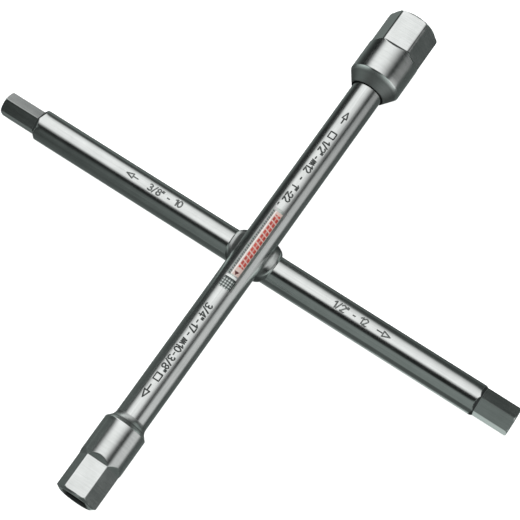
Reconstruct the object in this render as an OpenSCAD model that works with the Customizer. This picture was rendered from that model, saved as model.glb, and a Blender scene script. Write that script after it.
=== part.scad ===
// Four-way step key: two crossed steel bars with four different driving ends.
// The socket bar lies along Y and carries the 22 mm and 17 mm socket heads.
// The hex bar lies along X, under the socket bar, and ends in 12 mm and 10 mm hexagons.
// +Z is square to both bars. Z = 0 is the surface that the tool lies on.

/* [Bars] */
// Diameter of the socket bar
socket_bar_d = 14.6; // [14.4:0.1:15]
// Diameter of the hex bar
hex_bar_d = 14.4; // [14.2:0.1:15]
// Distance from the crossing to each mouth of the socket bar
socket_reach = 130; // [120:0.1:150]
// Distance from the crossing to each tip of the hex bar
hex_reach = 131.3; // [120:0.1:150]
// Height of the socket bar's axis above the hex bar's axis
axis_gap = 8; // [7:0.5:9]

/* [Large socket head] */
// Diameter of the round part of the large head
large_head_d = 24.8; // [24.6:0.1:25.3]
// Width across flats of the large head
large_af = 22; // [21.9:0.05:22]
// Side of the half-inch square hole
large_square = 12.8; // [12.7:0.05:13]
// Tapping diameter of the 12 mm thread in the bar's end, behind the square
large_thread_d = 10.2; // [10.1:0.05:10.4]
// Length of the large head
large_length = 39.5; // [38:0.5:46]
// Length of the cone at the back of the large head
large_cone = 6; // [5:0.5:9]
// Length of the flats on the large head
large_flats = 17.5; // [14:0.5:20]

/* [Small socket head] */
// Diameter of the round part of the small head
small_head_d = 19.8; // [19.6:0.1:20.4]
// Width across flats of the small head
small_af = 17; // [16:0.1:17.1]
// Side of the three-eighths-inch square hole
small_square = 9.6; // [9.5:0.05:9.8]
// Tapping diameter of the 10 mm thread in the bar's end, behind the square
small_thread_d = 8.5; // [8.4:0.05:8.7]
// Length of the small head
small_length = 37.5; // [36:0.5:45]
// Length of the flats on the small head
small_flats = 17; // [14:0.5:20]

/* [Hexagon tips] */
// Width across flats of the smaller tip
tip_10_af = 10; // [9:0.1:10.5]
// Length of the smaller tip
tip_10_length = 17.5; // [15:0.5:30]
// Width across flats of the larger tip
tip_12_af = 12; // [11:0.1:12.2]
// Length of the larger tip
tip_12_length = 16.5; // [15:0.5:30]

/* [Welded crossing] */
// Radius of the weld collar around the crossing
collar_r = 13; // [11.5:0.1:14]
// Thickness of the weld collar
collar_thick = 10; // [8:0.5:11]

/* [Printed label] */
// Length of the printed label
label_length = 43; // [30:1:50]
// Angle that the label wraps around the bar
label_wrap = 53; // [40:1:70]
// Turn of the label's middle away from straight up
label_turn = 6.5; // [0:0.5:12]

/* [Hidden] */

fine = 96;
overcut = 1;
socket_r = socket_bar_d / 2;
hex_r = hex_bar_d / 2;
hex_axis_z = hex_r;
socket_axis_z = hex_axis_z + axis_gap;

large_r = large_head_d / 2;
small_r = small_head_d / 2;
large_back = socket_reach - large_length;
small_back = socket_reach - small_length;

// The bar passes through each head as far as the floor of its square hole.
large_square_depth = 16;
small_square_depth = 13;
large_bar_end = socket_reach - large_square_depth;
small_bar_end = socket_reach - small_square_depth;
large_thread_depth = 20;
small_thread_depth = 18;

// Turned chamfers on the corners: radial size, then length along the axis.
head_chamfer = [1.2, 0.7];
tip_chamfer = [0.5, 0.5];

// The large head's cone starts outside the bar, around a ring in a shallow counterbore.
large_lip_r = socket_r + 1;
ring_width = 0.7;
ring_depth = 1;

// The small head starts as a short cone, behind a hollow fillet on the bar.
small_cone = 3;
small_lip_r = socket_r + 0.8;
fillet_length = 2.6;
fillet_rise = small_lip_r - socket_r;
fillet_r = (fillet_rise * fillet_rise + fillet_length * fillet_length) / (2 * fillet_rise);

// How far a milled flat runs out along the axis for each millimetre of its depth.
large_run_out = 0.45;
small_run_out = 1.65;
tip_run_out = 1;

// Turn of each tip's hexagon about the bar.
tip_10_turn = 32;
tip_12_turn = 32;

// The label starts short of the crossing on the small head's side.
label_start = -22.8;
label_thick = 0.12;

// These place a shape, built along +Z from the crossing, on one of the four arms.
module toward_large_head() {
  translate([0, 0, socket_axis_z]) rotate([-90, 0, 0]) children();
}

module toward_small_head() {
  translate([0, 0, socket_axis_z]) rotate([90, 0, 0]) children();
}

module toward_tip_12() {
  translate([0, 0, hex_axis_z]) rotate([0, 90, 0]) children();
}

module toward_tip_10() {
  translate([0, 0, hex_axis_z]) rotate([0, -90, 0]) children();
}

// Round bar from the crossing to its end.
module bar_half(r, length) {
  cylinder(h = length, r = r, $fn = fine);
}

// Turned blank with a back radius, a cone up to the full radius and a chamfered front.
module turned_head(back, front, back_r, cone, r, chamfer) {
  rotate_extrude($fn = fine)
    polygon([
      [0, back],
      [back_r, back],
      [r, back + cone],
      [r, front - chamfer[1]],
      [r - chamfer[0], front],
      [0, front]
    ]);
}

// What milling takes away to leave a hexagon across flats af from root to front.
// The cutter lifts out of each flat along a slope.
module milled_waste(af, root, front, run_out, reach) {
  for (side = [0:5])
    rotate([0, 0, 60 * side])
      rotate([90, 0, 0])
        linear_extrude(height = 2 * reach, center = true)
          polygon([
            [af / 2, root],
            [reach, root - (reach - af / 2) * run_out],
            [reach, front + overcut],
            [af / 2, front + overcut]
          ]);
}

// Square hole that opens at front.
module square_hole(side, front, depth) {
  translate([-side / 2, -side / 2, front - depth]) cube([side, side, depth + overcut]);
}

// Bore along the axis between two distances from the crossing.
module axial_bore(d, from, to) {
  translate([0, 0, from]) cylinder(h = to - from, r = d / 2, $fn = fine);
}

// The socket bar has a threaded bore in each end.
module socket_bar() {
  color("silver") difference() {
    union() {
      toward_large_head() bar_half(socket_r, large_bar_end);
      toward_small_head() bar_half(socket_r, small_bar_end);
    }
    toward_large_head()
      axial_bore(large_thread_d, large_bar_end - large_thread_depth, large_bar_end + overcut);
    toward_small_head()
      axial_bore(small_thread_d, small_bar_end - small_thread_depth, small_bar_end + overcut);
  }
}

// Half of the hex bar, with its tip milled to a hexagon.
// A hexagon's corner radius is its width across flats divided by the square root of 3.
module hex_bar_half(af, length, turn) {
  end_r = af / sqrt(3) - tip_chamfer[0];
  difference() {
    rotate_extrude($fn = fine)
      polygon([
        [0, 0],
        [hex_r, 0],
        [hex_r, hex_reach - (hex_r - end_r)],
        [end_r, hex_reach],
        [0, hex_reach]
      ]);
    rotate([0, 0, turn])
      milled_waste(af, hex_reach - length, hex_reach, tip_run_out, hex_r + 3);
  }
}

// The hex bar passes under the socket bar and is notched to seat it.
module hex_bar() {
  color("silver") difference() {
    union() {
      toward_tip_10() hex_bar_half(tip_10_af, tip_10_length, tip_10_turn);
      toward_tip_12() hex_bar_half(tip_12_af, tip_12_length, tip_12_turn);
    }
    toward_large_head() translate([0, 0, -socket_reach]) bar_half(socket_r, 2 * socket_reach);
  }
}

// Large head: 22 mm hexagon outside and a half-inch square hole, on the bar's end.
module large_head() {
  color("silver") toward_large_head() difference() {
    turned_head(large_back, socket_reach, large_lip_r, large_cone, large_r, head_chamfer);
    milled_waste(large_af, socket_reach - large_flats, socket_reach, large_run_out, large_r + 3);
    square_hole(large_square, socket_reach, large_square_depth);
    axial_bore(socket_bar_d, large_back - overcut, large_bar_end);
    axial_bore(socket_bar_d + 2 * ring_width, large_back - overcut, large_back + ring_depth);
  }
}

// Small head: 17 mm hexagon outside and a three-eighths-inch square hole, on the bar's end.
module small_head() {
  color("silver") toward_small_head() difference() {
    turned_head(small_back, socket_reach, small_lip_r, small_cone, small_r, head_chamfer);
    milled_waste(small_af, socket_reach - small_flats, socket_reach, small_run_out, small_r + 3);
    square_hole(small_square, socket_reach, small_square_depth);
    axial_bore(socket_bar_d, small_back - overcut, small_bar_end);
  }
}

// Weld metal squeezed out around the crossing, as a thick round-edged disc.
module weld_disc() {
  edge_r = collar_thick / 2;
  translate([0, 0, (hex_axis_z + socket_axis_z) / 2])
    rotate_extrude($fn = fine) {
      translate([collar_r - edge_r, 0]) intersection() {
        circle(r = edge_r, $fn = fine);
        translate([0, -edge_r]) square([edge_r, 2 * edge_r]);
      }
      translate([0, -edge_r]) square([collar_r - edge_r, 2 * edge_r]);
    }
}

// One half of the weld metal, on the side that the block lies on, clear of both bars.
module weld_half(block_x) {
  difference() {
    weld_disc();
    toward_tip_10() translate([0, 0, -hex_reach]) bar_half(hex_r, 2 * hex_reach);
    toward_large_head() translate([0, 0, -socket_reach]) bar_half(socket_r, 2 * socket_reach);
    translate([block_x, -2 * collar_r, -collar_r])
      cube([2 * collar_r, 4 * collar_r, 4 * collar_r]);
  }
}

module collar_10_side() {
  color("gray") weld_half(0);
}

module collar_12_side() {
  color("gray") weld_half(-2 * collar_r);
}

// Ring of brazing metal that seals the joint behind the large head.
module large_neck_ring() {
  color("dimgray") toward_large_head() difference() {
    axial_bore(socket_bar_d + 2 * ring_width, large_back, large_back + ring_depth);
    axial_bore(socket_bar_d, large_back - overcut, large_back + ring_depth + overcut);
  }
}

// Dressed weld that blends the bar into the small head.
module small_neck_fillet() {
  start = small_back - fillet_length;
  color("silver") toward_small_head() rotate_extrude($fn = fine)
    difference() {
      translate([socket_r, start]) square([fillet_rise, fillet_length]);
      translate([socket_r + fillet_r, start]) circle(r = fillet_r, $fn = 4 * fine);
    }
}

// Thin printed film that wraps part of the way around the socket bar.
module label_film() {
  outer_r = socket_r + label_thick;
  far = 2 * socket_r;
  sector = [for (side = [-1, 1]) label_turn + side * label_wrap / 2];
  color("red") toward_large_head() translate([0, 0, label_start])
    linear_extrude(height = label_length) intersection() {
      difference() {
        circle(r = outer_r, $fn = 2 * fine);
        circle(r = socket_r, $fn = 2 * fine);
      }
      polygon([[0, 0], for (turn = sector) [far * sin(turn), -far * cos(turn)]]);
    }
}

socket_bar();
hex_bar();
large_head();
small_head();
collar_10_side();
collar_12_side();
large_neck_ring();
small_neck_fillet();
label_film();
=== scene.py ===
"""Looks of a four-way step key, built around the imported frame.

Two satin chrome bars cross at a weld. Every CAD node is replaced by a finer surface with rounded
edges, stamped sizes, threads and a printed label. Shapes are worked out in millimetres on arms,
each with its own u (sideways), v (up) and s (along the arm) axes, and end up in metres. All angles
round an arm are measured from v towards u.
"""

import math

import bmesh
import bpy
import numpy as np
from mathutils import Matrix, Vector


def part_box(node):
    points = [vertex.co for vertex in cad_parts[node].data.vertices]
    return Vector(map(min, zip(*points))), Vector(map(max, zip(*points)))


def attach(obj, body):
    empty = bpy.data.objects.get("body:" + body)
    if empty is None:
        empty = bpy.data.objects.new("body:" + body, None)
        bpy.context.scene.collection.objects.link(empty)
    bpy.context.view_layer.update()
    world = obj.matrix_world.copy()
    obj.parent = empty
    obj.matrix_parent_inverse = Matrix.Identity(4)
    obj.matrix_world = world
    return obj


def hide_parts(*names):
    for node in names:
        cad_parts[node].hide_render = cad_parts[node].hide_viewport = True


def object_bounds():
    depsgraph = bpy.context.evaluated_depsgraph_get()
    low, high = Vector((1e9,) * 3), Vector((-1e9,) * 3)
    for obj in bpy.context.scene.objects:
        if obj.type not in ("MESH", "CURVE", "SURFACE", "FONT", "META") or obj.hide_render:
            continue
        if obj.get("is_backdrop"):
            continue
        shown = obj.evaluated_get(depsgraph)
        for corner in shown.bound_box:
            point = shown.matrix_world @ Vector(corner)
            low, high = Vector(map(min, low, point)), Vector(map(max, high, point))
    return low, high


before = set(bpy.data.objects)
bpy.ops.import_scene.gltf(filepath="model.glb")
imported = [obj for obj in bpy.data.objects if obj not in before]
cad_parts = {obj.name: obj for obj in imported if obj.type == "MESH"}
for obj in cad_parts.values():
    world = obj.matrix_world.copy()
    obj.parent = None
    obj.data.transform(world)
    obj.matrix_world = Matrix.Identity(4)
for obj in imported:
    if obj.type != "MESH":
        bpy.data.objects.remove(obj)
cad_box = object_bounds()

MM = 0.001


# ---------------------------------------------------------------- sizes from the frame

def node_box(node):
    """Lowest and highest corner of a CAD node, in millimetres."""
    low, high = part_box(node)
    return np.array(low) / MM, np.array(high) / MM


bar_low, bar_high = node_box("socket_bar")
hex_low, hex_high = node_box("hex_bar")
large_low, large_high = node_box("large_head")
small_low, small_high = node_box("small_head")
fillet_low, fillet_high = node_box("small_neck_fillet")
label_low, label_high = node_box("label_film")

SOCKET_R = (bar_high[0] - bar_low[0]) / 2
SOCKET_Z = (bar_high[2] + bar_low[2]) / 2
SOCKET_REACH = large_high[1]
HEX_R = (hex_high[1] - hex_low[1]) / 2
# The hex bar lies on the surface.
HEX_Z = HEX_R
HEX_REACH = hex_high[0]

# The socket heads, from back to mouth. The turned cone rises from a lip round the bar to the body, and
# the hexagon's flats run out behind root, run_out along the arm for each millimetre of depth.
# groove is the gap round the bar for the braze. edge_round softens the hexagon's corners, land_round their
# meeting with the turned body, and chamfer is the mouth's, across and along. Then come how dark the
# painted shade is on the flats' run-outs, where the root's shadow falls, and on the cone, where it stands
# for the cone's dark reflection, and how rough the cone is, all from 0 to 1.
LARGE = {
    "back": large_low[1],
    "cone": 6,
    "lip_r": SOCKET_R + 1,
    "body_r": (large_high[0] - large_low[0]) / 2,
    "af": 22,
    "root": SOCKET_REACH - 17.5,
    "run_out": 1.0,
    "square": 12.8,
    "square_depth": 16,
    "groove": 0.7,
    "lip_round": 0.3,
    "painted_shade": 0.85,
    "cone_shade": 0.68,
    "dull": 1,
    "edge_round": 0.3,
    "land_round": 0.3,
    "chamfer": (1.9, 1.1),
}
SMALL = {
    "back": -small_high[1],
    "cone": 2,
    "lip_r": SOCKET_R + 0.8,
    "body_r": (small_high[0] - small_low[0]) / 2,
    "af": 17,
    "root": SOCKET_REACH - 17,
    "run_out": 1.65,
    "square": 9.6,
    "square_depth": 13,
    "groove": 0,
    "lip_round": 0,
    "painted_shade": 0.1,
    "cone_shade": 0.78,
    "dull": 1,
    "edge_round": 0.15,
    "land_round": 0.08,
    "chamfer": (2.0, 1.1),
}
# The milled tips. turn is how far the hexagon is turned round the bar, in degrees.
TIP_10 = {"af": 10, "root": HEX_REACH - 17.5, "run_out": 0.8, "turn": -32}
TIP_12 = {"af": 12, "root": HEX_REACH - 16.5, "run_out": 1, "turn": -32}
TIP_CHAMFER = 0.5
# Painted shade at the tips' roots, where the shoulder's shadow falls. Over 1, because the hex bar's ink is
# the weakest.
TIP_SHADE = 1.4

# Tapped holes: tapping radius, radius to the thread's roots, pitch and depth.
LARGE_THREAD = {"r": 5.1, "major_r": 6, "pitch": 1.75, "length": 20}
SMALL_THREAD = {"r": 4.25, "major_r": 5, "pitch": 1.5, "length": 18}
# Gap between a square hole's floor and the end of the bar.
SHOULDER = 0.3
# How dark the heads are painted inside: painted shade in the square hole and the bore.
HOLE_SHADE = 0.95
# How far from a hexagon's corner its bright wear, painted also as a highlight, reaches.
WORN_GLINT_HALF = math.radians(2.5)
# Rounding where a head's flats run out into its body, and where a tip's flats meet the bar.
RUN_OUT_ROUND = 0.08
TIP_ROUND = 0.2


# ---------------------------------------------------------------- arms and meshes

def arm(sideways, along, height):
    """Turns points given as (u, v, s) into points of the part frame."""
    axes = np.array([sideways, (0, 0, 1), along], float)
    return lambda points: points @ axes + np.array([0, 0, height])


SOCKET_ARM = arm((1, 0, 0), (0, 1, 0), SOCKET_Z)
SMALL_ARM = arm((1, 0, 0), (0, -1, 0), SOCKET_Z)
HEX_ARM = arm((0, 1, 0), (1, 0, 0), HEX_Z)


def loft(name, rings, place, joined=False, layers=None):
    """A closed surface through rings of points, whose end rings are capped or joined to each other.

    Each layer gives a value to every point, for the materials.
    """
    rings = np.array(rings, float)
    count, around = rings.shape[:2]
    here = np.arange(around)
    after = np.roll(here, -1)
    faces = []
    for step in range(count if joined else count - 1):
        a = step * around
        b = (step + 1) % count * around
        faces += np.stack([a + here, a + after, b + after, b + here], 1).tolist()
    if not joined:
        faces += [here[::-1].tolist(), ((count - 1) * around + here).tolist()]
    mesh = bpy.data.meshes.new(name)
    mesh.from_pydata((place(rings.reshape(-1, 3)) * MM).tolist(), [], faces)
    for layer, values in (layers or {}).items():
        attribute = mesh.attributes.new(layer, "FLOAT", "POINT")
        attribute.data.foreach_set("value", np.array(values, np.float32).ravel())
    return finished(mesh)


def finished(mesh):
    """Merges doubled points, turns the faces outward and shades the mesh smoothly up to its edges."""
    work = bmesh.new()
    work.from_mesh(mesh)
    bmesh.ops.remove_doubles(work, verts=work.verts, dist=0.002 * MM)
    bmesh.ops.dissolve_degenerate(work, edges=work.edges, dist=0.001 * MM)
    bmesh.ops.recalc_face_normals(work, faces=work.faces)
    if work.calc_volume(signed=True) < 0:
        bmesh.ops.reverse_faces(work, faces=work.faces)
    work.to_mesh(mesh)
    work.free()
    mesh.shade_smooth()
    mesh.set_sharp_from_angle(angle=math.radians(35))
    made = bpy.data.objects.new(mesh.name, mesh)
    bpy.context.scene.collection.objects.link(made)
    return made


def stands_for(piece, material, slot, *nodes):
    """Gives a piece its material, and puts it in the place of CAD nodes on the only body."""
    piece.data.materials.append(material)
    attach(piece, "root")
    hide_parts(*nodes)


# ---------------------------------------------------------------- outlines

def rounded(corners, steps=4):
    """Outline through (s, r, rounding) corners, each rounded by an arc."""
    spots = [np.array(corner[:2], float) for corner in corners]
    outline = [spots[0]]
    for index in range(1, len(corners) - 1):
        corner, rounding = spots[index], corners[index][2]
        if not rounding:
            outline.append(corner)
            continue
        back = spots[index - 1] - corner
        ahead = spots[index + 1] - corner
        back /= np.linalg.norm(back)
        ahead /= np.linalg.norm(ahead)
        half = math.acos(np.clip(back @ ahead, -1, 1)) / 2
        middle = (back + ahead) / np.linalg.norm(back + ahead)
        centre = corner + middle * rounding / math.sin(half)
        start = corner + back * rounding / math.tan(half) - centre
        end = corner + ahead * rounding / math.tan(half) - centre
        for share in np.linspace(0, 1, steps + 1):
            way = start * (1 - share) + end * share
            outline.append(centre + way / np.linalg.norm(way) * rounding)
    outline.append(spots[-1])
    return np.array(outline)


def filled(outline, spacing):
    """Adds points to an outline, so that no step is much longer than spacing(s)."""
    points = [outline[0]]
    for end in outline[1:]:
        while np.linalg.norm(end - points[-1]) > 1.4 * spacing(points[-1][0]):
            way = end - points[-1]
            points.append(points[-1] + way / np.linalg.norm(way) * spacing(points[-1][0]))
        points.append(end)
    return np.array(points)


def fine_in(spans, fine, coarse):
    """Spacing that is fine within the spans of s, and widens to coarse with the distance from them."""
    return lambda s: min(coarse, max(fine, min(max(low - s, s - high) for low, high in spans)))


def ring(s, radius, angles):
    """Points round the axis at s. The angle runs from v towards u."""
    radius = np.broadcast_to(radius, angles.shape)
    return np.stack([radius * np.sin(angles), radius * np.cos(angles), np.full(len(angles), s)], -1)


def soft_min(a, b, width):
    """The smaller of a and b, with their meeting rounded over the width."""
    share = np.clip(0.5 + 0.5 * (b - a) / width, 0, 1)
    return b * (1 - share) + a * share - width * share * (1 - share)


def flats(s, angles, af, root, run_out, turn=0, edge_round=0.05):
    """Distance from the axis of a hexagon's faces, which rise away from it behind root."""
    side = (angles - math.radians(turn) + math.pi / 6) % (math.pi / 3) - math.pi / 6
    depth = af / 2 + max(0, root - s) / run_out
    return soft_min(depth / np.cos(side), depth / np.cos(math.pi / 3 - np.abs(side)), edge_round)


# Worn corners, painted bright as highlights along the edges.
def edge_wear_and_glint(angles, turn=0):
    """1 on a hexagon's corners, falling to 0 a few degrees away."""
    side = (angles - math.radians(turn)) % (math.pi / 3) - math.pi / 6
    return np.exp(-(side / WORN_GLINT_HALF) ** 2)


def rounded_square(side, angles, power=26):
    """Distance from the axis of a square hole's walls, with slightly rounded corners."""
    cos, sin = np.abs(np.cos(angles)), np.abs(np.sin(angles))
    return side / 2 * (cos ** power + sin ** power) ** (-1 / power)


# ---------------------------------------------------------------- stamped marks

def arc(x, y, rx, ry, start, end, steps=8):
    """Points along part of an ellipse, with angles in degrees."""
    turn = np.radians(np.linspace(start, end, steps + 1))
    return [(x + rx * math.cos(t), y + ry * math.sin(t)) for t in turn]


# Each glyph is its width and its strokes, in units of the glyph's height. i is an inch mark, s a square
# socket, z a screw thread, and < or > an arrow.
GLYPHS = {
    "0": (0.56, [arc(0.28, 0.5, 0.28, 0.5, 0, 360, 14)]),
    "1": (0.3, [[(0, 0.76), (0.27, 1), (0.27, 0)]]),
    "2": (0.56, [arc(0.28, 0.72, 0.28, 0.28, 165, -35) + [(0, 0), (0.58, 0)]]),
    "3": (0.56, [arc(0.27, 0.75, 0.25, 0.25, 140, -90), arc(0.27, 0.27, 0.29, 0.27, 90, -140)]),
    "4": (0.58, [[(0.44, 0), (0.44, 1), (0, 0.3), (0.6, 0.3)]]),
    "7": (0.56, [[(0, 1), (0.56, 1), (0.2, 0)]]),
    "8": (0.56, [arc(0.28, 0.75, 0.23, 0.25, 0, 360, 12), arc(0.28, 0.26, 0.28, 0.26, 0, 360, 12)]),
    "/": (0.44, [[(0, -0.05), (0.44, 1.05)]]),
    "i": (0.2, [[(0, 1), (0, 0.72)], [(0.2, 1), (0.2, 0.72)]]),
    "-": (0.3, [[(0, 0.45), (0.3, 0.45)]]),
    "s": (0.92, [[(0, 0.04), (0.92, 0.04), (0.92, 0.96), (0, 0.96), (0, 0.04)]]),
    "z": (0.8, [[(0, 0.2), (0.13, 0.85), (0.27, 0.2), (0.4, 0.85), (0.53, 0.2), (0.67, 0.85),
                 (0.8, 0.2)]]),
    ">": (1.95, [[(0, 0.5), (0.9, 0.5)], [(0.9, 0.08), (1.95, 0.5), (0.9, 0.92), (0.9, 0.08)]]),
    "<": (1.8, [[(1.8, 0.5), (1, 0.5)], [(1, 0.15), (0, 0.5), (1, 0.85), (1, 0.15)]]),
}
GLYPH_HEIGHT = 3.2
GLYPH_GAP = 0.18
STROKE = 0.46
STROKE_EDGE = 0.16
STAMP_DEPTH = 0.22
# Spacing of a bar's mesh where it is stamped.
MARK_STEP = 0.16

# For each row along an arm: its reading direction, its turn from straight up in degrees, and its marks
# as (text, distance) pairs.
SOCKET_MARKS = [
    (-1, 0, [("<", 71.6), ("s", 61.6), ("1/2i", 54.6), ("-", 48.9), ("z12", 44.3), ("-", 37.2),
             ("1i", 32.4), ("-", 29.3), ("22", 26.8)]),
    (-1, -2, [("3/4i", -35.7), ("-", -41.1), ("17", -44.4), ("-", -47.8), ("z10", -53.5),
              ("-", -58.2), ("3/8i", -63.1), ("s", -70.2)]),
    (-1, -5, [(">", -77.6)]),
    (-1, -15, [("-", 22.2)]),
]
HEX_MARKS = [
    (1, 2, [("<", -63.1), ("3/8i", -50.8), ("-", -44), ("1/2i", 44.8), ("-", 51.6), ("12", 56.4),
            (">", 66.2)]),
    (1, 6, [("10", -39.1)]),
]


def strokes_of(text):
    """Line segments of a text centred on the origin, in millimetres, as an array of end points."""
    widths = [GLYPHS[letter][0] for letter in text]
    left = -(sum(widths) + GLYPH_GAP * (len(text) - 1)) / 2
    segments = []
    for letter, width in zip(text, widths):
        for stroke in GLYPHS[letter][1]:
            points = (np.array(stroke) + (left, -0.5)) * GLYPH_HEIGHT
            segments += list(zip(points[:-1], points[1:]))
        left += width + GLYPH_GAP
    return np.array(segments)


def stroke_distance(x, y, segments):
    """Distance from each point to the nearest segment."""
    nearest = np.full(np.broadcast(x, y).shape, np.inf)
    for (ax, ay), (bx, by) in segments:
        dx, dy = bx - ax, by - ay
        share = np.clip(((x - ax) * dx + (y - ay) * dy) / (dx * dx + dy * dy), 0, 1)
        nearest = np.minimum(nearest, np.hypot(x - ax - share * dx, y - ay - share * dy))
    return nearest


def placed_marks(rows):
    """Each mark as its reading direction, turn, place along the arm, segments and half length."""
    for reading, turn, texts in rows:
        for text, distance in texts:
            segments = strokes_of(text)
            yield reading, math.radians(turn), distance, segments, np.abs(segments[..., 0]).max() + 0.5


def stamped(s, angles, radius, rows):
    """How deep the stamped strokes are at each (s, angle), as a share of their full depth."""
    depth = np.zeros((len(s), len(angles)))
    for reading, turn, distance, segments, half in placed_marks(rows):
        near = np.abs(s - distance) < half
        x = reading * (s[near, None] - distance)
        y = radius * (angles[None, :] - turn)
        away = stroke_distance(x, y, segments)
        share = np.clip((STROKE / 2 + STROKE_EDGE / 2 - away) / STROKE_EDGE, 0, 1)
        depth[near] = np.maximum(depth[near], share * share * (3 - 2 * share))
    return depth


def mark_spans(rows):
    """The stretches of an arm that hold marks."""
    return [(distance - half, distance + half) for _, _, distance, _, half in placed_marks(rows)]


def columns(radius, low, high, step, corners=()):
    """Angles round a bar: fine from low to high degrees, where the marks are, and beside corners."""
    fine = np.linspace(low, high, math.ceil(math.radians(high - low) * radius / MARK_STEP) + 1)
    coarse = np.linspace(high, low + 360, math.ceil((low + 360 - high) / step) + 1)[1:-1]
    beside = [corner + offset for corner in corners for offset in (-1.6, -0.8, 0, 0.8, 1.6)]
    beside = [a for a in (np.array(beside) - high) % 360 + high if a < low + 360]
    return np.radians(np.unique(np.concatenate([fine, coarse, beside]).round(4)))


# ---------------------------------------------------------------- bars

def threaded_end(thread, end, angles):
    """Rings of a tapped bore, from its drilled point out to the countersink at the bar's end."""
    r, crest, pitch = thread["r"], thread["major_r"] - thread["r"], thread["pitch"]
    bottom = end - thread["length"]
    rings = [ring(bottom - r * 0.58, 0, angles), ring(bottom - 0.02, r - 0.05, angles)]
    last = end - 1.2
    for s in np.linspace(bottom, last, math.ceil((last - bottom) / pitch * 8)):
        wave = np.abs((s / pitch - angles / (2 * math.pi)) % 1 * 2 - 1)
        fade = min(1, (last - s) / pitch, (s - bottom) / pitch)
        rings.append(ring(s, r + crest * fade * np.clip(wave * 1.3 - 0.15, 0, 1), angles))
    rings.append(ring(end, thread["major_r"] + 0.3, angles))
    return rings


def socket_bar():
    """The round bar through both heads, with its stamped sizes and its tapped ends."""
    angles = columns(SOCKET_R, -23, 19, 5)
    large_end = SOCKET_REACH - LARGE["square_depth"] - SHOULDER
    small_end = SOCKET_REACH - SMALL["square_depth"] - SHOULDER
    line = filled(np.array([(-small_end + 0.6, SOCKET_R), (large_end - 0.6, SOCKET_R)]),
                  fine_in(mark_spans(SOCKET_MARKS), MARK_STEP, 4))[:, 0]
    depth = stamped(line, angles, SOCKET_R, SOCKET_MARKS)
    body = [ring(s, SOCKET_R - STAMP_DEPTH * row, angles) for s, row in zip(line, depth)]
    small_bore = [points * (1, 1, -1) for points in threaded_end(SMALL_THREAD, small_end, angles)]
    small_face = [ring(-small_end, SOCKET_R - 0.6, angles)]
    large_face = [ring(large_end, SOCKET_R - 0.6, angles)]
    large_bore = threaded_end(LARGE_THREAD, large_end, angles)[::-1]
    rings = small_bore + small_face + body + large_face + large_bore
    stamp_and_shade = np.zeros((len(rings), len(angles)))
    first = len(small_bore) + 1
    # The strokes' depth also sets their painted shade.
    stamp_and_shade[first:first + len(body)] = depth
    return loft("satin_socket_bar", rings, SOCKET_ARM, layers={"stamp_and_shade": stamp_and_shade})


def hex_bar():
    """The round bar along X, whose ends are milled to hexagons with slightly rounded edges."""
    corners = [TIP_10["turn"] + 30 + 60 * side for side in range(6)]
    angles = columns(HEX_R, -16, 22, 2.5, corners)
    tip_rings = {}
    for sign, tip in ((-1, TIP_10), (1, TIP_12)):
        end_r = tip["af"] / math.sqrt(3) - TIP_CHAMFER
        outline = rounded([
            (tip["root"] - 4, HEX_R, 0),
            (tip["root"], HEX_R, 0),
            (HEX_REACH - (HEX_R - end_r), HEX_R, 0),
            (HEX_REACH, end_r, 0.35),
            (HEX_REACH, end_r - 0.6, 0),
        ])
        steep = tip["root"] - (HEX_R - tip["af"] / 2) * tip["run_out"]
        fine = fine_in([(steep - 0.2, tip["root"]), (HEX_REACH - 3, HEX_REACH)], 0.2, 3)
        outline = filled(outline, fine)
        tip_rings[sign] = []
        for s, r in outline:
            faces = flats(s, angles, tip["af"], tip["root"], tip["run_out"], tip["turn"])
            # Worn corners, painted bright as highlights along the edges.
            worn_and_glint = edge_wear_and_glint(angles, tip["turn"]) * np.clip(s - tip["root"], 0, 1)
            # Painted shade on the run-out walls at the flats' root, where the shoulder's shadow falls.
            root_shade = TIP_SHADE * (faces < HEX_R + 0.1) * (s < tip["root"] + 0.05)
            tip_rings[sign].append((ring(sign * s, soft_min(r, faces, TIP_ROUND), angles), worn_and_glint, root_shade))
    low, high = TIP_10["root"] - 4, TIP_12["root"] - 4
    line = filled(np.array([(-low, HEX_R), (high, HEX_R)]), fine_in(mark_spans(HEX_MARKS), MARK_STEP, 4))
    line = line[1:-1, 0]
    depth = stamped(line, angles, HEX_R, HEX_MARKS)
    body = [ring(s, HEX_R - STAMP_DEPTH * row, angles) for s, row in zip(line, depth)]
    left, right = tip_rings[-1][::-1], tip_rings[1]
    # The strokes' depth also sets their painted shade.
    plain = [(points, np.zeros(len(angles)), row) for points, row in zip(body, depth)]
    rings, wear_and_glint, stamp_and_shade = zip(*left, *plain, *right)
    return loft("satin_hex_bar", rings, HEX_ARM, layers={"stamp_and_shade": stamp_and_shade, "wear_and_glint": wear_and_glint})


# ---------------------------------------------------------------- socket heads

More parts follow.
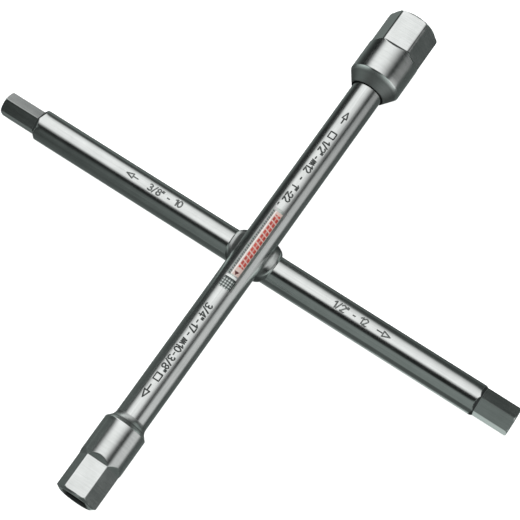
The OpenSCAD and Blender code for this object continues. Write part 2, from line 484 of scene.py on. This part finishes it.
def head(name, size, place):
    """A socket head: turned cone and body, milled flats, square hole and the bore for the bar."""
    edge = math.degrees(math.acos(size["af"] / size["body_r"] / 2))
    corners = [60 * side + sign * edge for side in range(6) for sign in (-1, 1)]
    corners = [corner + step for corner in corners for step in (-0.5, 0, 0.5)]
    angles = np.radians(np.unique(np.concatenate([np.arange(360), np.mod(corners, 360)]).round(3)))
    front, back, body_r = SOCKET_REACH, size["back"], size["body_r"]
    face_r = body_r - size["chamfer"][0]
    outline = rounded([
        (back, size["lip_r"] - 0.4, 0),
        (back, size["lip_r"], size["lip_round"]),
        (back + size["cone"], body_r, 0.5),
        (size["root"], body_r, 0),
        (front - size["chamfer"][1], body_r, 0.9),
        (front, face_r, 0.5),
        (front, face_r - 0.6, 0),
    ])
    if not size["lip_round"]:
        outline = outline[1:]
    steep = size["root"] - (body_r - size["af"] / 2) * size["run_out"]
    outline = filled(outline, fine_in([(steep - 0.2, size["root"])], 0.2, 2.5))
    rings, wear_and_glint, dark, dull = [], [], [], []
    for s, r in outline:
        faces = flats(s, angles, size["af"], size["root"], size["run_out"], edge_round=size["edge_round"])
        rounding = size["land_round"] if s > size["root"] else RUN_OUT_ROUND
        rings.append(ring(s, soft_min(r, faces, rounding), angles))
        # Painted shade: the cone is darkened as its dark reflection, and the flats' run-outs where the
        # root's shadow falls.
        on_cone = s < back + size["cone"] - 0.2
        run_out_shade = size["painted_shade"] * (faces < r + 0.05) * (s < size["root"] + 0.05)
        dark.append(np.maximum(size["cone_shade"] * on_cone, run_out_shade))
        dull.append(np.full(len(angles), size["dull"] * on_cone))
        # Worn corners and rims, painted bright as highlights along the edges.
        worn_and_glint = edge_wear_and_glint(angles) * np.clip(s - size["root"], 0, 1)
        rim = math.exp(-((s - back - size["cone"]) / 0.5) ** 2) + math.exp(-((s - front) / 0.5) ** 2)
        wear_and_glint.append(np.maximum(worn_and_glint, min(1, rim)))
    floor = front - size["square_depth"]
    inside = [
        (front, rounded_square(size["square"] + 1.5, angles)),
        (front - 0.15, rounded_square(size["square"] + 1.1, angles)),
        (front - 0.8, rounded_square(size["square"], angles)),
        (floor, rounded_square(size["square"], angles)),
        (floor, size["square"] / 2 - 0.1),
        (floor - SHOULDER, size["square"] / 2 - 0.1),
        (floor - SHOULDER, SOCKET_R),
        (back + 1, SOCKET_R),
        (back + 1, SOCKET_R + size["groove"]),
        (back, SOCKET_R + size["groove"]),
    ]
    rings += [ring(s, radius, angles) for s, radius in inside]
    wear_and_glint += [np.zeros(len(angles))] * len(inside)
    # Painted shade all over the inside of the hole and the bore.
    dark += [np.full(len(angles), HOLE_SHADE)] * len(inside)
    dull += [np.zeros(len(angles))] * len(inside)
    layers = {"wear_and_glint": np.array(wear_and_glint), "stamp_and_shade": np.array(dark), "dull": np.array(dull)}
    return loft(name, rings, place, joined=True, layers=layers)


def turned(name, outline, place, around=120):
    """A ring-shaped piece turned from a closed outline of (s, r) points."""
    angles = np.linspace(0, 2 * math.pi, around, endpoint=False)
    return loft(name, [ring(s, r, angles) for s, r in outline], place, joined=True)


def neck_seam():
    """The dark seam of braze behind the large head, set back a little from the head's lip."""
    back, outer = LARGE["back"], SOCKET_R + LARGE["groove"]
    sunk = rounded([
        (back + 1, SOCKET_R, 0),
        (back + 0.45, SOCKET_R, 0),
        (back + 0.6, SOCKET_R + 0.35, 0.4),
        (back + 0.4, outer, 0),
        (back + 1, outer, 0),
    ])
    return turned("braze_seam", sunk, SOCKET_ARM)


def neck_fillet():
    """The hollow curve that blends the bar into the back of the small head."""
    start, end = -fillet_high[1], -fillet_low[1]
    rise = SMALL["lip_r"] - SOCKET_R
    radius = (rise ** 2 + (end - start) ** 2) / (2 * rise)
    curve = [(s, SOCKET_R + radius - math.sqrt(radius ** 2 - (s - start) ** 2))
             for s in np.linspace(start, end, 10)]
    return turned("neck_fillet", curve + [(end, SOCKET_R - 0.3), (start, SOCKET_R - 0.3)], SMALL_ARM)


# ---------------------------------------------------------------- weld collar

# outline is radius, height above the hex bar's axis and rounding, from a bead's middle, over its crest,
# to its foot. far and near are how far it reaches along the socket bar towards +Y and -Y. The last pair
# says how far out from the socket bar's middle the painted shade beside the bar fades, and how far along
# the bar the painted shade towards the bead's ends starts.
BEAD_10 = {
    "outline": [(0, 3, 0), (6.4, 6.5, 0.5), (9.3, 8.5, 0.7), (11, 8.2, 0.8), (11.9, 5.2, 1.6),
                (11.5, 2.4, 2), (9.5, -0.9, 2.5), (0, -0.9, 0)],
    "far": 10,
    "near": 9.4,
    "painted_shade": (8.9, 4.5),
}
BEAD_12 = {
    "outline": [(0, 7, 0), (6.5, 8.2, 0.5), (8.8, 8.5, 3), (11.3, 8.3, 0.9), (11.95, 5.5, 1.5),
                (11.5, 2.4, 2), (9.5, -0.9, 2.5), (0, -0.9, 0)],
    "far": 11,
    "near": 9.6,
    "painted_shade": (7.3, 6),
}
# How much lower the bead is for each square millimetre of the distance along the socket bar.
BEAD_SAG = 0.042
# The exponent of the bead's outline from above, where 2 would make it an ellipse.
BEAD_SQUARENESS = 2.8
# How dark the painted shade on the weld gets.
BEAD_SHADE = 0.7


def weld_half(name, bead, start):
    """Half of the lumpy bead that the two bars squeezed out as they were welded together.

    It reaches further along the socket bar on one side than on the other. Painted shade darkens the weld
    close to the socket bar and towards both ends, where the bars shade it.
    """
    outline = filled(rounded(bead["outline"], steps=6), lambda s: 0.5)
    reach = outline[:, 0].max()
    rings, painted_shade = [], []
    for turn in np.linspace(start, start + math.pi, 121):
        length = bead["far"] if math.sin(turn) > 0 else bead["near"]
        across = abs(math.cos(turn)) / reach
        along = abs(math.sin(turn)) / length
        grow = (across ** BEAD_SQUARENESS + along ** BEAD_SQUARENESS) ** (-1 / BEAD_SQUARENESS) / reach
        lump = 0.1 * math.sin(3 * turn + 0.7) + 0.06 * math.sin(7 * turn + 2) + 0.03 * math.sin(13 * turn)
        radius = outline[:, 0] * grow + np.clip(outline[:, 0] - 7, 0, 3) / 3 * lump
        x, y = radius * math.cos(turn), radius * math.sin(turn)
        sag = BEAD_SAG * y ** 2 * (outline[:, 1] > 0)
        height = outline[:, 1] - sag + np.clip(1 - np.abs(outline[:, 0] - 9.5) / 2.5, 0, 1) * lump
        rings.append(np.stack([x, y, height], -1))
        # Painted shade on the weld beside the socket bar and towards the bead's ends, where the bars shade
        # it.
        inner, end = bead["painted_shade"]
        shade = np.maximum(np.clip(inner + 0.8 - np.abs(x), 0, 1), np.clip((np.abs(y) - end) / 2, 0, 1))
        painted_shade.append(BEAD_SHADE * shade * (outline[:, 1] > 3))
    return loft(name, rings, lambda points: points + (0, 0, HEX_Z), layers={"stamp_and_shade": np.array(painted_shade)})


# ---------------------------------------------------------------- label

def label():
    """The printed film, curved round the bar."""
    low_s, high_s = label_low[1], label_high[1]
    outer = SOCKET_R + 0.12
    low = math.asin(label_low[0] / outer)
    high = math.asin(label_high[0] / outer)
    across = np.linspace(low, high, 60)
    section = [(outer, a) for a in across] + [(SOCKET_R - 0.05, a) for a in across[::-1]]
    rings = []
    for s in np.linspace(low_s, high_s, 41):
        rings.append([(r * math.sin(a), r * math.cos(a), s) for r, a in section])
    return loft("label_print_film", rings, SOCKET_ARM)


# ---------------------------------------------------------------- materials

def node(tree, kind, inputs=None, **settings):
    """Adds a shader node. An input is a value or another node's output."""
    made = tree.nodes.new(kind)
    for name, value in settings.items():
        setattr(made, name, value)
    for name, value in (inputs or {}).items():
        if isinstance(value, bpy.types.NodeSocket):
            tree.links.new(value, made.inputs[name])
        else:
            made.inputs[name].default_value = value
    return made


def maths(tree, operation, *values):
    """A math node's result."""
    return node(tree, "ShaderNodeMath", dict(enumerate(values)), operation=operation).outputs[0]


def mixed(tree, share, first, second):
    """A colour between two others."""
    made = node(tree, "ShaderNodeMix", {"Factor": share}, data_type="RGBA")
    # Sockets 6 and 7 are the two colours, and output 2 is the mixed one.
    for socket, value in ((made.inputs[6], first), (made.inputs[7], second)):
        if isinstance(value, bpy.types.NodeSocket):
            tree.links.new(value, socket)
        else:
            socket.default_value = (*value, 1)
    return made.outputs[2]


def noise(tree, place, scale, detail=3.0):
    """Noise, with a separate scale in waves per metre along each axis."""
    spread = node(tree, "ShaderNodeMapping", {"Vector": place, "Scale": scale}).outputs["Vector"]
    sizes = {"Vector": spread, "Scale": 1.0, "Detail": detail}
    return node(tree, "ShaderNodeTexNoise", sizes).outputs["Fac"]


def between(tree, value, low, high):
    """Spreads a noise value, which is mostly between 0.3 and 0.7, over the range from low to high."""
    sizes = {"Value": value, "From Min": 0.3, "From Max": 0.7, "To Min": low, "To Max": high}
    return node(tree, "ShaderNodeMapRange", sizes).outputs["Result"]


def blank(name):
    """A new material with its node tree, its shader and the object's own coordinates."""
    material = bpy.data.materials.new(name)
    material.use_nodes = True
    tree = material.node_tree
    place = node(tree, "ShaderNodeTexCoord").outputs["Object"]
    return material, tree, tree.nodes["Principled BSDF"], place


# Colour of worn edges, painted bright as highlights.
WORN_GLINT_BRIGHT = (0.8, 0.82, 0.81)
# Colour of the painted shade in stamped strokes, run-outs, cones, holes and weld.
PAINTED_SHADE_DARK = (0.02, 0.022, 0.022)


def chrome(name, light, dark, grain_scale, rough, grain_depth, cloud=140.0, ink=0.93):
    """Satin chrome plate: fine lines, cloudy polish, bright worn edges and dark stamped strokes.

    Layers of the mesh say where it's darkened by painted shade, in the stamped strokes, run-outs, cones,
    holes and weld, where its worn edges are painted bright as highlights, and where it's left unpolished.
    ink is how much of the plate the darkest painted shade hides.
    """
    material, tree, shader, place = blank(name)
    grain = noise(tree, place, grain_scale, 4.0)
    clouds = noise(tree, place, (cloud, cloud, cloud))
    specks = noise(tree, place, (2600.0, 2600.0, 2600.0), 2.0)
    stamp_and_shade = node(tree, "ShaderNodeAttribute", attribute_name="stamp_and_shade").outputs["Fac"]
    wear_and_glint = node(tree, "ShaderNodeAttribute", attribute_name="wear_and_glint").outputs["Fac"]
    worn_and_glint = maths(tree, "MULTIPLY", wear_and_glint, between(tree, specks, 0.2, 1.0))
    streaks = maths(tree, "MULTIPLY_ADD", grain, 0.5, maths(tree, "MULTIPLY", clouds, 0.5))
    plate = mixed(tree, between(tree, streaks, 0.0, 1.0), dark, light)
    # Worn edges painted bright, standing partly for highlights.
    edged = mixed(tree, maths(tree, "MULTIPLY", worn_and_glint, 0.6), plate, WORN_GLINT_BRIGHT)
    # Painted shade: stamped strokes, run-outs, cones, holes and weld darkened towards the shade colour.
    shaded_plate = mixed(tree, maths(tree, "MULTIPLY", stamp_and_shade, ink), edged, PAINTED_SHADE_DARK)
    tree.links.new(shaded_plate, shader.inputs["Base Color"])
    polish = between(tree, maths(tree, "ADD", maths(tree, "MULTIPLY", grain, 0.4),
                                 maths(tree, "MULTIPLY", clouds, 0.6)), rough[0], rough[1])
    dull = node(tree, "ShaderNodeAttribute", attribute_name="dull").outputs["Fac"]
    polish = maths(tree, "MULTIPLY_ADD", maths(tree, "MAXIMUM", stamp_and_shade, dull), 0.3, polish)
    tree.links.new(polish, shader.inputs["Roughness"])
    height = maths(tree, "MULTIPLY_ADD", specks, 0.25, grain)
    bump = node(tree, "ShaderNodeBump", {"Strength": grain_depth, "Distance": 0.0001, "Height": height})
    tree.links.new(bump.outputs["Normal"], shader.inputs["Normal"])
    shader.inputs["Metallic"].default_value = 1.0
    return material


def seam_metal():
    """Oxidised braze: nearly black, rough and grainy."""
    material, tree, shader, place = blank("braze_dark")
    grains = noise(tree, place, (1800.0, 1800.0, 1800.0), 4.0)
    burnt = mixed(tree, between(tree, grains, 0.0, 1.0), (0.006, 0.007, 0.007), (0.03, 0.032, 0.03))
    tree.links.new(burnt, shader.inputs["Base Color"])
    tree.links.new(between(tree, grains, 0.5, 0.8), shader.inputs["Roughness"])
    bump = node(tree, "ShaderNodeBump", {"Strength": 0.5, "Distance": 0.0002, "Height": grains})
    tree.links.new(bump.outputs["Normal"], shader.inputs["Normal"])
    shader.inputs["Metallic"].default_value = 0.6
    return material


def inside(tree, value, low, high):
    """1 where a value lies between two limits."""
    above = maths(tree, "GREATER_THAN", value, low)
    return maths(tree, "MULTIPLY", above, maths(tree, "LESS_THAN", value, high))


def over(tree, colour, share, ink):
    """A colour with an ink printed over a share of it."""
    return mixed(tree, share, colour, ink)


# Lengths along the label from one block, or one tick, to the next, and how far both lean.
BLOCK_PITCH = 2.4
TICK_PITCH = 1.2
LEAN = 0.3
# Radians of the hatching's waves for each millimetre.
HATCH = 2.5


def printed():
    """The label's print: a hatched square, a red row of plain blocks, and a grey scale of ticks.

    The clear film between the inks lets the steel shine through. The scale's dark ground is a painted
    reflection of the dark surroundings in the steel under the film. Distances are millimetres along
    the bar, and round it from straight up.
    """
    material, tree, shader, place = blank("label_print")
    parts = node(tree, "ShaderNodeSeparateXYZ", {"Vector": place}).outputs
    along = maths(tree, "MULTIPLY", parts["Y"], 1000.0)
    lift = maths(tree, "SUBTRACT", parts["Z"], SOCKET_Z * MM)
    across = maths(tree, "MULTIPLY", maths(tree, "ARCTAN2", parts["X"], lift), SOCKET_R)
    ageing = noise(tree, place, (900.0, 500.0, 900.0), 4.0)
    fine = noise(tree, place, (3500.0, 3500.0, 3500.0), 2.0)
    main = inside(tree, along, -15.6, 18.6)
    cream = maths(tree, "MULTIPLY", inside(tree, across, -1.0, 2.9), main)
    colour = mixed(tree, between(tree, ageing, 0.0, 1.0), (0.4, 0.5, 0.44), (0.62, 0.57, 0.59))
    colour = over(tree, colour, cream, (0.8, 0.6, 0.54))

    slanted = maths(tree, "MULTIPLY_ADD", across, LEAN, along)
    beat = maths(tree, "FRACT", maths(tree, "DIVIDE", slanted, BLOCK_PITCH))
    blocks = maths(tree, "MULTIPLY", maths(tree, "LESS_THAN", beat, 0.76), inside(tree, across, 0.15, 2.7))
    blocks = maths(tree, "MULTIPLY", blocks, inside(tree, along, -11.5, 17.2))
    slot = maths(tree, "MULTIPLY", inside(tree, across, 1.2, 1.6), 0.6)
    blocks = maths(tree, "MULTIPLY", blocks, maths(tree, "SUBTRACT", 1.0, slot))
    red = mixed(tree, between(tree, ageing, 0.0, 1.0), (0.42, 0.03, 0.022), (0.74, 0.1, 0.07))
    colour = over(tree, colour, blocks, red)

    tip = maths(tree, "MULTIPLY", maths(tree, "ADD", along, 15.4), 0.65)
    arrow = maths(tree, "LESS_THAN", maths(tree, "ABSOLUTE", maths(tree, "SUBTRACT", across, 1.1)), tip)
    arrow = maths(tree, "MULTIPLY", arrow, inside(tree, along, -15.4, -13.6))
    colour = over(tree, colour, arrow, (0.1, 0.012, 0.012))
    keyline = maths(tree, "MULTIPLY", inside(tree, across, -0.75, -0.2), main)
    colour = over(tree, colour, keyline, (0.95, 0.9, 0.88))

    # The scale: printed light ticks on a dark ground, painted as the steel's dark reflection.
    scale = maths(tree, "MULTIPLY", inside(tree, across, -1.95, -0.9), inside(tree, along, -16.2, 19.0))
    tick_beat = maths(tree, "FRACT", maths(tree, "DIVIDE", slanted, TICK_PITCH))
    ticks = maths(tree, "LESS_THAN", tick_beat, 0.5)
    tone = mixed(tree, maths(tree, "MULTIPLY", ticks, between(tree, ageing, 0.3, 1.0)),
                 (0.07, 0.085, 0.08), (0.5, 0.54, 0.53))
    colour = over(tree, colour, scale, tone)

    rising = maths(tree, "MULTIPLY", maths(tree, "ADD", along, across), HATCH)
    falling = maths(tree, "MULTIPLY", maths(tree, "SUBTRACT", along, across), HATCH)
    up_slope = maths(tree, "SINE", rising)
    down_slope = maths(tree, "SINE", falling)
    weave = maths(tree, "GREATER_THAN", maths(tree, "MULTIPLY", up_slope, down_slope), -0.1)
    square = maths(tree, "LESS_THAN", along, -17.9)
    square = maths(tree, "MULTIPLY", square, inside(tree, across, -2.5, 3.3))
    hatch = mixed(tree, weave, (0.62, 0.67, 0.65), (0.07, 0.085, 0.08))
    colour = over(tree, colour, square, hatch)
    side = maths(tree, "LESS_THAN", along, -17.5)
    side = maths(tree, "MULTIPLY", side, inside(tree, across, 2.95, 3.4))
    colour = over(tree, colour, side, (0.03, 0.035, 0.035))
    rule = maths(tree, "MULTIPLY", inside(tree, along, -17.9, -17.4), inside(tree, across, -2.2, 3.4))
    colour = over(tree, colour, rule, (0.03, 0.035, 0.035))
    band = maths(tree, "MULTIPLY", inside(tree, along, -17.4, -16.3), inside(tree, across, -2.2, 2.9))
    colour = over(tree, colour, band, (0.92, 0.95, 0.93))
    rubbed = maths(tree, "MULTIPLY", maths(tree, "GREATER_THAN", fine, 0.64), 0.4)
    colour = over(tree, colour, rubbed, (0.5, 0.53, 0.52))
    tree.links.new(colour, shader.inputs["Base Color"])

    rows = maths(tree, "MAXIMUM", cream, scale)
    inks = maths(tree, "MAXIMUM", rows, maths(tree, "MAXIMUM", square, band))
    tree.links.new(maths(tree, "MULTIPLY_ADD", inks, -0.85, 1.0), shader.inputs["Metallic"])
    tree.links.new(between(tree, ageing, 0.24, 0.36), shader.inputs["Roughness"])
    bump = node(tree, "ShaderNodeBump", {"Strength": 0.15, "Distance": 0.00005, "Height": fine})
    tree.links.new(bump.outputs["Normal"], shader.inputs["Normal"])
    return material


# ---------------------------------------------------------------- the object

bar_chrome = chrome("bar_satin_chrome", (0.73, 0.75, 0.74), (0.58, 0.6, 0.59),
                    (1900.0, 45.0, 1900.0), (0.19, 0.24), 0.1, ink=0.88)
hex_chrome = chrome("hex_bar_satin_chrome", (0.73, 0.75, 0.74), (0.58, 0.6, 0.59),
                    (45.0, 1900.0, 1900.0), (0.14, 0.19), 0.1, ink=0.66)
head_chrome = chrome("head_satin_chrome", (0.73, 0.75, 0.74), (0.58, 0.6, 0.59),
                     (90.0, 2200.0, 90.0), (0.19, 0.24), 0.12)
weld_chrome = chrome("weld_satin_chrome", (0.54, 0.56, 0.55), (0.36, 0.38, 0.37),
                     (700.0, 700.0, 700.0), (0.24, 0.34), 0.25, cloud=400.0)
# A darker copy of the bar's chrome for the neck fillet: painted shade that dims its highlight. It is
# rougher too.
neck_shaded_chrome = chrome("neck_shaded_satin_chrome", (0.5, 0.52, 0.51), (0.36, 0.38, 0.37),
                     (700.0, 700.0, 700.0), (0.3, 0.4), 0.2)

stands_for(socket_bar(), bar_chrome, "bar_steel", "socket_bar")
stands_for(hex_bar(), hex_chrome, "bar_steel", "hex_bar")
stands_for(head("large_socket_head", LARGE, SOCKET_ARM), head_chrome, "head_steel", "large_head")
stands_for(head("small_socket_head", SMALL, SMALL_ARM), head_chrome, "head_steel", "small_head")
stands_for(neck_seam(), seam_metal(), "braze_metal", "large_neck_ring")
stands_for(neck_fillet(), neck_shaded_chrome, "bar_steel", "small_neck_fillet")
bead_12 = weld_half("weld_bead_12_side", BEAD_12, -math.pi / 2)
bead_10 = weld_half("weld_bead_10_side", BEAD_10, math.pi / 2)
stands_for(bead_12, weld_chrome, "weld_metal", "collar_12_side")
stands_for(bead_10, weld_chrome, "weld_metal", "collar_10_side")
stands_for(label(), printed(), "label_print", "label_film")


# ---------------------------------------------------------------- stage, lights and camera

VIEW_AZIMUTH = math.radians(32.25)
VIEW_ELEVATION = math.radians(69.34)
VIEW_ROLL = math.radians(1.68)
VIEW_DISTANCE = 0.8023
VIEW_LENS = 130.2
VIEW_TARGET = Vector((4.68, -1.56, 15.28)) * MM
RIGHT = Vector((math.cos(VIEW_AZIMUTH), math.sin(VIEW_AZIMUTH), 0))
AWAY = Vector((-math.sin(VIEW_AZIMUTH), math.cos(VIEW_AZIMUTH), 0))
UP = Vector((0, 0, 1))


def camera():
    """The camera, looking steeply down at the crossing."""
    data = bpy.data.cameras.new("camera")
    data.lens = VIEW_LENS
    data.sensor_width = 36
    data.clip_start = 0.01
    data.clip_end = 50
    made = bpy.data.objects.new("camera", data)
    bpy.context.scene.collection.objects.link(made)
    back = -AWAY * math.cos(VIEW_ELEVATION) + UP * math.sin(VIEW_ELEVATION)
    turn = (-back).to_track_quat("-Z", "Y").to_matrix() @ Matrix.Rotation(VIEW_ROLL, 3, "Z")
    made.matrix_world = Matrix.Translation(VIEW_TARGET + back * VIEW_DISTANCE) @ turn.to_4x4()
    bpy.context.scene.camera = made


def key_light():
    """A large soft light overhead, for the printed film. Metal doesn't mirror it."""
    data = bpy.data.lights.new("key_light", "AREA")
    data.shape = "RECTANGLE"
    data.size, data.size_y = 1.6, 2.0
    data.energy = 9
    made = bpy.data.objects.new("key_light", data)
    bpy.context.scene.collection.objects.link(made)
    spot = AWAY * 0.4 - RIGHT * 0.2 + UP * 1.5
    made.matrix_world = Matrix.Translation(spot) @ (-spot).to_track_quat("-Z", "Y").to_matrix().to_4x4()
    made.visible_camera = False
    made.visible_glossy = False


def studio_floor():
    """A pale floor that curves up into a far wall all round. Metal doesn't mirror it either."""
    turn = np.linspace(0, 2 * math.pi, 96, endpoint=False)
    bend = np.linspace(0, math.pi / 2, 13)
    profile = [(0.02, 0), (1, 0)] + [(2 + math.sin(b), 1 - math.cos(b)) for b in bend] + [(3, 4)]
    rings = [[(r * math.cos(t), r * math.sin(t), z) for t in turn] for r, z in profile]
    points = np.array(rings).reshape(-1, 3)
    around = len(turn)
    faces = [[a * around + i, a * around + (i + 1) % around, (a + 1) * around + (i + 1) % around,
              (a + 1) * around + i] for a in range(len(profile) - 1) for i in range(around)]
    faces.append(list(range(around))[::-1])
    mesh = bpy.data.meshes.new("studio_floor")
    mesh.from_pydata(points.tolist(), [], faces)
    mesh.shade_smooth()
    floor = bpy.data.objects.new("studio_floor", mesh)
    bpy.context.scene.collection.objects.link(floor)
    material, tree, shader, place = blank("pale_floor")
    speck = noise(tree, place, (40.0, 40.0, 40.0))
    tree.links.new(mixed(tree, between(tree, speck, 0.0, 1.0), (0.79, 0.79, 0.79), (0.81, 0.81, 0.81)),
                   shader.inputs["Base Color"])
    shader.inputs["Roughness"].default_value = 1.0
    shader.inputs["Specular IOR Level"].default_value = 0.0
    shader.inputs["Emission Color"].default_value = (1, 1, 1, 1)
    shader.inputs["Emission Strength"].default_value = 0.92
    mesh.materials.append(material)
    floor.visible_glossy = False
    floor.visible_diffuse = False
    floor.visible_shadow = False
    floor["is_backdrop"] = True


# Soft panels round the studio: azimuth and elevation of the middle in degrees, half width and half
# height as seen from the object at one metre, softness of the sides and of the ends, turn, radiance.
# The camera sees right, front, left, low, floor and back mirrored in the metal. The other four light
# what can be seen from elsewhere, and leave out the directions that the camera sees mirrored.
PANELS = {
    "right": (-5, 14, 0.54, 0.47, 0.1, 0.35, 3, 0.72),
    "front": (-88, 17, 0.3, 0.57, 0.39, 0.28, 0, 0.24),
    "left": (194, 6, 0.52, 0.5, 0.04, 0.05, 0, 0.13),
    "low right": (-42, 22, 0.38, 0.85, 0.3, 0.3, 0, 0.5),
    "low left": (-148, 12, 0.27, 0.6, 0.2, 0.25, 0, 0.6),
    "far right": (57, 0, 0.26, 0.5, 0.15, 0.25, 0, 0.55),
    "far left": (132, 0, 0.14, 0.5, 0.12, 0.25, 0, 0.5),
    "floor": (-98, -74, 0.1, 0.2, 0.15, 0.2, 0, 0.42),
    "back": (100, 20, 0.35, 0.45, 0.3, 0.3, 0, 0.05),
    "low": (129, -30, 0.58, 0.24, 0.59, 0.39, -30, 0.12),
}
DIM_TINT = (0.9, 1.02, 0.98)
# Height of a direction, and how bright the dim studio is there.
DIM_AIR = [
    (-1, 0.2), (-0.75, 0.11), (-0.5, 0.1), (-0.25, 0.085), (-0.05, 0.02), (0.2, 0.01),
    (0.5, 0.035), (0.75, 0.02), (1, 0.001),
]


def soft_edge(tree, inward, softness):
    """0 outside an edge and 1 inside, with a smooth step as wide as the softness."""
    sizes = {"Value": inward, "From Min": -softness / 2, "From Max": softness / 2}
    return node(tree, "ShaderNodeMapRange", sizes, interpolation_type="SMOOTHSTEP").outputs["Result"]


# The least cosine at which a direction still counts as crossing a wall.
GRAZING = 0.02


def seen_along(tree, way, axis, side, up):
    """Where directions cross a wall one metre off along an axis, sideways and up, and 1 if they do."""
    parts = []
    for direction in (side, up, axis):
        made = node(tree, "ShaderNodeVectorMath", {0: way, 1: tuple(direction)}, operation="DOT_PRODUCT")
        parts.append(made.outputs["Value"])
    ahead = maths(tree, "MAXIMUM", parts[2], GRAZING)
    return (maths(tree, "DIVIDE", parts[0], ahead), maths(tree, "DIVIDE", parts[1], ahead),
            maths(tree, "GREATER_THAN", parts[2], GRAZING))


def panel_light(tree, way, azimuth, elevation, half_w, half_h, soft_w, soft_h, turn, radiance):
    """A soft rectangle of light on the studio's far side."""
    flat = math.radians(azimuth)
    rise = math.radians(elevation)
    axis = Vector((math.cos(rise) * math.cos(flat), math.cos(rise) * math.sin(flat), math.sin(rise)))
    side = Vector((-math.sin(flat), math.cos(flat), 0))
    side.rotate(Matrix.Rotation(math.radians(turn), 3, axis))
    x, y, faces_it = seen_along(tree, way, axis, side, axis.cross(side))
    wide = soft_edge(tree, maths(tree, "SUBTRACT", half_w, maths(tree, "ABSOLUTE", x)), soft_w)
    tall = soft_edge(tree, maths(tree, "SUBTRACT", half_h, maths(tree, "ABSOLUTE", y)), soft_h)
    shape = maths(tree, "MULTIPLY", wide, tall)
    return maths(tree, "MULTIPLY", shape, maths(tree, "MULTIPLY", faces_it, radiance))


# The ceiling's softbox, one metre up: its left edge, how much further left that is for each metre away
# from the camera, its right and near edges, the softness of each edge, and its radiance.
CEILING = {
    "left": 0.52,
    "slant": 0.185,
    "right": 0.58,
    "near": 0.095,
    "left_soft": 0.7,
    "right_soft": 1.15,
    "near_soft": 0.28,
    "radiance": 1.18,
}


def ceiling_light(tree, way):
    """The main softbox overhead, which runs on far behind the object and widens to the left."""
    x, y, faces_it = seen_along(tree, way, UP, RIGHT, AWAY)
    reach = maths(tree, "MULTIPLY_ADD", y, CEILING["slant"], CEILING["left"])
    left = soft_edge(tree, maths(tree, "ADD", x, reach), CEILING["left_soft"])
    right = soft_edge(tree, maths(tree, "SUBTRACT", CEILING["right"], x), CEILING["right_soft"])
    near = soft_edge(tree, maths(tree, "ADD", y, CEILING["near"]), CEILING["near_soft"])
    sides = maths(tree, "MULTIPLY", left, right)
    lit = maths(tree, "MULTIPLY", sides, maths(tree, "MULTIPLY", near, faces_it))
    return maths(tree, "MULTIPLY", lit, CEILING["radiance"])


def studio_air():
    """The studio as the object mirrors it: dim surroundings with a bright ceiling and soft panels.

    The ceiling and the right panel are white. The rest has a faint green tint.
    """
    world = bpy.data.worlds.new("studio_air")
    bpy.context.scene.world = world
    world.use_nodes = True
    tree = world.node_tree
    way = node(tree, "ShaderNodeTexCoord").outputs["Generated"]
    rise = node(tree, "ShaderNodeSeparateXYZ", {"Vector": way}).outputs["Z"]
    ramp = node(tree, "ShaderNodeValToRGB", {"Fac": maths(tree, "MULTIPLY_ADD", rise, 0.5, 0.5)})
    stops = ramp.color_ramp.elements
    stops.remove(stops[1])
    for index, (height, light) in enumerate(DIM_AIR):
        stop = stops[0] if index == 0 else stops.new((height + 1) / 2)
        stop.position = (height + 1) / 2
        stop.color = (*(light * tint for tint in DIM_TINT), 1)
    dim = {name: panel_light(tree, way, *sizes) for name, sizes in PANELS.items()}
    bright = maths(tree, "ADD", ceiling_light(tree, way), dim.pop("right"))
    faint = dim.pop("front")
    for glow in dim.values():
        faint = maths(tree, "ADD", faint, glow)
    total = ramp.outputs["Color"]
    for tint, light in ((DIM_TINT, faint), ((1, 1, 1), bright)):
        glow = node(tree, "ShaderNodeVectorMath", {0: tint, "Scale": light}, operation="SCALE")
        total = node(tree, "ShaderNodeVectorMath", {0: total, 1: glow.outputs["Vector"]}, operation="ADD")
        total = total.outputs["Vector"]
    tree.links.new(total, tree.nodes["Background"].inputs["Color"])
    tree.nodes["Background"].inputs["Strength"].default_value = 1.0


camera()
studio_floor()
studio_air()
key_light()
bpy.context.scene.view_settings.view_transform = "Standard"

boxes = {"cad": cad_box, "visual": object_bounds()}
{name: [list(corner) for corner in box] for name, box in boxes.items()}
